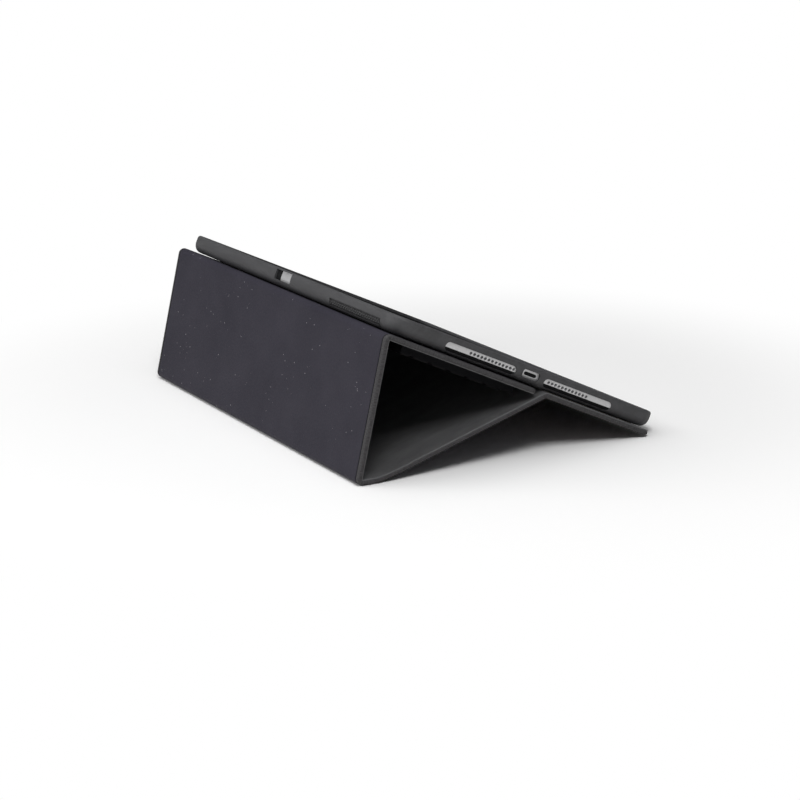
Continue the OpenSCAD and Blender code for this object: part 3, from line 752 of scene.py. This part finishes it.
# A dark strip below a speaker screen: painted shade of the slot's lower recess
def speaker_shade_plate(name, side, u0, u1):
    box = (u0 - SCREEN_LAP, SPEAKER_SHADE_V[0], u1 + SCREEN_LAP, SPEAKER_SHADE_V[1])
    return plate(name, side, [(box, None)], SCREEN_DEPTH, SCREEN_T, "key_plastic")


for side in ("left", "right"):
    for which, (u0, u1, first, count) in SPEAKER_ROWS.items():
        obj = screen(f"speaker_screen_{side}_{which}", side, u0, u1, first, count)
        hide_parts("speaker_screens")
        speaker_shade = speaker_shade_plate(f"speaker_shade_plate_{side}_{which}", side, u0, u1)
        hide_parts("speaker_screens")

PLATE_DEPTH, PLATE_T = 1.22, 0.22
PORT_BOX = (80.1, 2.2, 91.8, 7.4)
PORT_HOLE = ((85.95, 4.75), (8.0, 2.2))
# painted shade: a thin dark sheet behind the port's hole, for the shade in its recess
PORT_SHADE_DEPTH, PORT_SHADE_T = 1.45, 0.05
CONTACT_BOX = (-7.4, 2.2, 5.8, 9.2)
# painted shade: a dark plate beside the contact plate, where the tray's inner wall lies in shadow
CONTACT_SHADE_BOX = (5.8, 2.2, 11.6, 9.2)
plate("port_frame", "left", [(PORT_BOX, PORT_HOLE)], PLATE_DEPTH, PLATE_T, "screen_metal")
# Painted shade: the dark sheet behind the port's hole
plate("port_shade_plate", "left", [(PORT_BOX, None)], PORT_SHADE_DEPTH, PORT_SHADE_T, "key_plastic")
plate("contact_plate", "high", [(CONTACT_BOX, None)], PLATE_DEPTH, PLATE_T, "screen_metal")
# Painted shade: the dark plate in the contact window's shadowed part
plate("contact_shade_plate", "high", [(CONTACT_SHADE_BOX, None)], PLATE_DEPTH, PLATE_T, "key_plastic")


def relief(name, side, box, counts, height, back):
    """A rubber strip in the tray's edge. Height says how far out each point lies, back how deep it is."""
    u0, v0, u1, v1 = box
    nu, nv = counts
    vs = [v0 + (v1 - v0) * j / nv for j in range(nv + 1)]
    top, bottom, uv = [], [], []
    for i in range(nu + 1):
        u = u0 + (u1 - u0) * i / nu
        top.append([edge_place(side, u, v, -height(u, v)) for v in vs])
        bottom.append([edge_place(side, u, v, back) for v in vs])
        uv.append([(u * MM, v * MM) for v in vs])
    obj = slab(name, top, bottom, uv, "grip_rubber")
    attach(obj, "tray")
    return obj


COVER_DEPTH, COVER_BACK = 1.0, 1.4
PAD_OUT, PAD_HALF_V, PAD_STEEP = 0.9, 1.7, 5
COVER_STEPS = 14


def smooth(t):
    t = min(1.0, max(0.0, t))
    return t * t * (3 - 2 * t)


def button_cover(name, side, box, pads, half):
    """A thin cover behind an opening, with a raised pad of a half length at each place in pads."""
    u0, v0, u1, v1 = box
    middle = (v0 + v1) / 2

    def height(u, v):
        beside = min(abs(u - p) for p in pads) / half
        pad = smooth((1 - max(beside, abs(v - middle) / PAD_HALF_V)) * PAD_STEEP)
        return PAD_OUT * pad - COVER_DEPTH

    relief(name, side, box, (round((u1 - u0) * 2), COVER_STEPS), height, COVER_BACK)


button_cover("volume_buttons", "low", (70.2, 2.0, 101.8, 7.6), (79.0, 93.0), 6.0)
button_cover("power_button", "right", (9.2, 2.0, 26.8, 7.6), (18.0,), 6.5)

GRIP_BOX = (-106.5, 1.0, -53.0, 4.7)
GRIP_STEP, GRIP_STEPS_V, GRIP_BACK = 0.25, 20, 0.6
GRIP_PITCH, GRIP_RISE, GRIP_FLOOR = 2.3, 0.84, -0.2
RIM_W, RIM_OUT, MOAT_END = 0.3, 0.28, 0.6


def tooth(t):
    """A triangle wave from 0 to 1 and back over one pitch."""
    return 1 - abs(2 * (t / GRIP_PITCH % 1.0) - 1)


def grip_height(u, v):
    """The grip: a raised rim, a low line inside it, and small pyramids in slanted rows."""
    u0, v0, u1, v1 = GRIP_BOX
    edge = min(u - u0, u1 - u, v - v0, v1 - v)
    if edge < RIM_W:
        return RIM_OUT
    if edge < MOAT_END:
        return GRIP_FLOOR
    return GRIP_RISE * tooth(u + v * 1.2) * tooth(u - v) + GRIP_FLOOR


grip_steps = (round((GRIP_BOX[2] - GRIP_BOX[0]) / GRIP_STEP), GRIP_STEPS_V)
grip = relief("grip_strip", "high", GRIP_BOX, grip_steps, grip_height, GRIP_BACK)
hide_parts("grip_insert")

# ---------- Keys ----------

KEY_MID = (KEYBOARD_START + KEY_L - KEYBOARD_END) / 2
KEY_PITCH, KEY_SPACING, ROW_SPACING = 16.0, 2.4, 2.0
ROW_UNITS, LETTER_ROWS = 14, 5
FUNCTION_PITCH, ROW_PITCH = 8.0, 11.6
ROW_START = -(FUNCTION_PITCH + LETTER_ROWS * ROW_PITCH) / 2
FLANGE_Z, FLANGE_T, FLANGE = 2.75, 0.4, 0.6
KEY_TOP, KEY_R, BEVEL, DISH = 4.6, 1.1, 0.35, 0.16
CORNER_STEPS = 5
# A cap from its flange to the middle of its dish: height over the lining, and growth of its outline
CAP_RINGS = [
    (FLANGE_Z, FLANGE), (FLANGE_Z + FLANGE_T, FLANGE), (FLANGE_Z + FLANGE_T, 0.0),
    (KEY_TOP - BEVEL, 0.0), (KEY_TOP - 0.12, -0.1), (KEY_TOP - 0.02, -0.25), (KEY_TOP, -0.45),
    (KEY_TOP - DISH * 0.5, -1.2), (KEY_TOP - DISH * 0.85, -2.2), (KEY_TOP - DISH, -3.0),
]
MIN_HALF, MIN_R, MIN_FLAT = 0.4, 0.25, 0.05
KEY_ROWS = {
    "function_keys": [1] * 14,
    "number_keys": [1] * 14,
    "upper_keys": [1.25] + [1] * 11 + [1.75],
    "home_keys": [1.5] + [1] * 11 + [1.5],
    "lower_keys": [2] + [1] * 10 + [2],
    "space_keys": [1, 1, 1, 1, 5, 1, 1, 1, 1, 1],
}


def key_outline(length, width, r):
    """Points of a rectangle with round corners, about its middle."""
    out = []
    for k, (sx, sy) in enumerate(((1, 1), (-1, 1), (-1, -1), (1, -1))):
        for i in range(CORNER_STEPS):
            a = math.radians(90 * k + 90 * i / (CORNER_STEPS - 1))
            out.append((sx * (length / 2 - r) + r * math.cos(a), sy * (width / 2 - r) + r * math.sin(a)))
    return out


def add_key(bm, x, y, length, width):
    """One cap: a flange, straight sides, a rounded rim and a shallow dish."""
    half = min(length, width) / 2
    rings = []
    for z, grow in CAP_RINGS:
        grow = max(grow, MIN_HALF - half)
        r = min(max(MIN_R, KEY_R + grow), half + grow - MIN_FLAT)
        pts = key_outline(length + 2 * grow, width + 2 * grow, r)
        rings.append([bm.verts.new(local("key", x + px, KEY_MID + y + py, z)) for px, py in pts])
    n = len(rings[0])
    for a, b in zip(rings, rings[1:]):
        for i in range(n):
            bm.faces.new((a[i], a[(i + 1) % n], b[(i + 1) % n], b[i]))
    bm.faces.new(rings[0])
    bm.faces.new(rings[-1])


row_edge = ROW_START
for name, widths in KEY_ROWS.items():
    bm = bmesh.new()
    pitch = FUNCTION_PITCH if name == "function_keys" else ROW_PITCH
    x = -ROW_UNITS / 2 * KEY_PITCH
    for w in widths:
        add_key(bm, x + w * KEY_PITCH / 2, row_edge + pitch / 2, w * KEY_PITCH - KEY_SPACING,
                pitch - ROW_SPACING)
        x += w * KEY_PITCH
    row_edge += pitch
    caps = finish_mesh(name.replace("keys", "caps"), bm, "key_plastic")
    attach(caps, name)
    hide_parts(name)

# ---------- Camera, light and floor ----------

# The camera was fitted to a stand with this middle and its free edge at height 0. The shift moves it
# to the stand in the frame.
FITTED_CENTRE_Y = 86.416
SHIFT = Vector((0, (FITTED_CENTRE_Y - CENTRE_Y) * MM, LIFT * MM))
EYE = Vector((-1.0967, 0.6048, 0.3435)) + SHIFT
TARGET = Vector((0, -0.00165, 0.00063)) + SHIFT
ROLL = math.radians(-0.56)
LENS, SENSOR = 105.8, 36

view = (TARGET - EYE).normalized()
right = view.cross(Vector((0, 0, 1))).normalized()
up = right.cross(view)
right, up = (right * math.cos(ROLL) + up * math.sin(ROLL), up * math.cos(ROLL) - right * math.sin(ROLL))
camera = bpy.data.objects.new("camera", bpy.data.cameras.new("camera"))
bpy.context.scene.collection.objects.link(camera)
camera.data.lens = LENS
camera.data.sensor_width = SENSOR
camera.data.clip_start = 0.01
camera.matrix_world = Matrix.Translation(EYE) @ Matrix((right, up, -view)).transposed().to_4x4()
bpy.context.scene.camera = camera


def lamp(name, place, aim, size, power):
    light = bpy.data.lights.new(name, "AREA")
    light.shape = "RECTANGLE"
    light.size, light.size_y = size
    light.energy = power
    obj = bpy.data.objects.new(name, light)
    bpy.context.scene.collection.objects.link(obj)
    obj.location = place
    obj.rotation_euler = (Vector(aim) - Vector(place)).to_track_quat("-Z", "Y").to_euler()


lamp("top_softbox", (0.0, 0.3, 1.4), (0, 0, 0), (1.8, 1.8), 11)
lamp("back_softbox", (0.6, 1.6, 0.9), (0, 0, 0.03), (1.3, 1.1), 12)
lamp("side_softbox", (-0.75, 0.35, 1.25), (0, 0, 0.03), (0.5, 0.5), 8.5)

SKY = 0.13
world = bpy.data.worlds.new("world")
bpy.context.scene.world = world
world.use_nodes = True
sky = world.node_tree.nodes["Background"]
sky.inputs["Color"].default_value = (1, 1, 1, 1)
sky.inputs["Strength"].default_value = SKY
white = node(world, "ShaderNodeBackground", Strength=1.0)
rays = node(world, "ShaderNodeLightPath").outputs
seen = maths(world, "MAXIMUM", rays["Is Camera Ray"], rays["Is Transmission Ray"])
shown = mix_shader(world, seen, sky.outputs[0], white.outputs[0])
link(world, shown, world.node_tree.nodes["World Output"].inputs["Surface"])

FLOOR_HALF, FLOOR_DROP = 6.0, 0.0002
FADE_START, FADE_END = 0.15, 0.33  # the seen floor goes from lit white to plain white, from the origin

bm = bmesh.new()
bmesh.ops.create_grid(bm, x_segments=8, y_segments=8, size=FLOOR_HALF)
floor = new_object("floor", bm)
paper = new_material("paper", (0.86, 0.85, 0.84), 0.9)
lit = node(paper, "ShaderNodeBsdfDiffuse", Color=(1, 1, 1, 1))
plain = node(paper, "ShaderNodeEmission")
far_off = node(paper, "ShaderNodeVectorMath", operation="LENGTH")
link(paper, node(paper, "ShaderNodeTexCoord").outputs["Object"], far_off.inputs[0])
fade = node(paper, "ShaderNodeMapRange", interpolation_type="SMOOTHSTEP", From_Min=FADE_START,
            From_Max=FADE_END)
link(paper, far_off.outputs["Value"], fade.inputs["Value"])
seen_paper = mix_shader(paper, fade.outputs[0], lit.outputs[0], plain.outputs[0])
rays = node(paper, "ShaderNodeLightPath").outputs
base = paper.node_tree.nodes["Principled BSDF"].outputs[0]
both = mix_shader(paper, rays["Is Camera Ray"], base, seen_paper)
link(paper, both, paper.node_tree.nodes["Material Output"].inputs["Surface"])
floor.data.materials.append(paper)
floor.location = (0, 0, -FLOOR_DROP)

bpy.context.scene.view_settings.view_transform = "Standard"
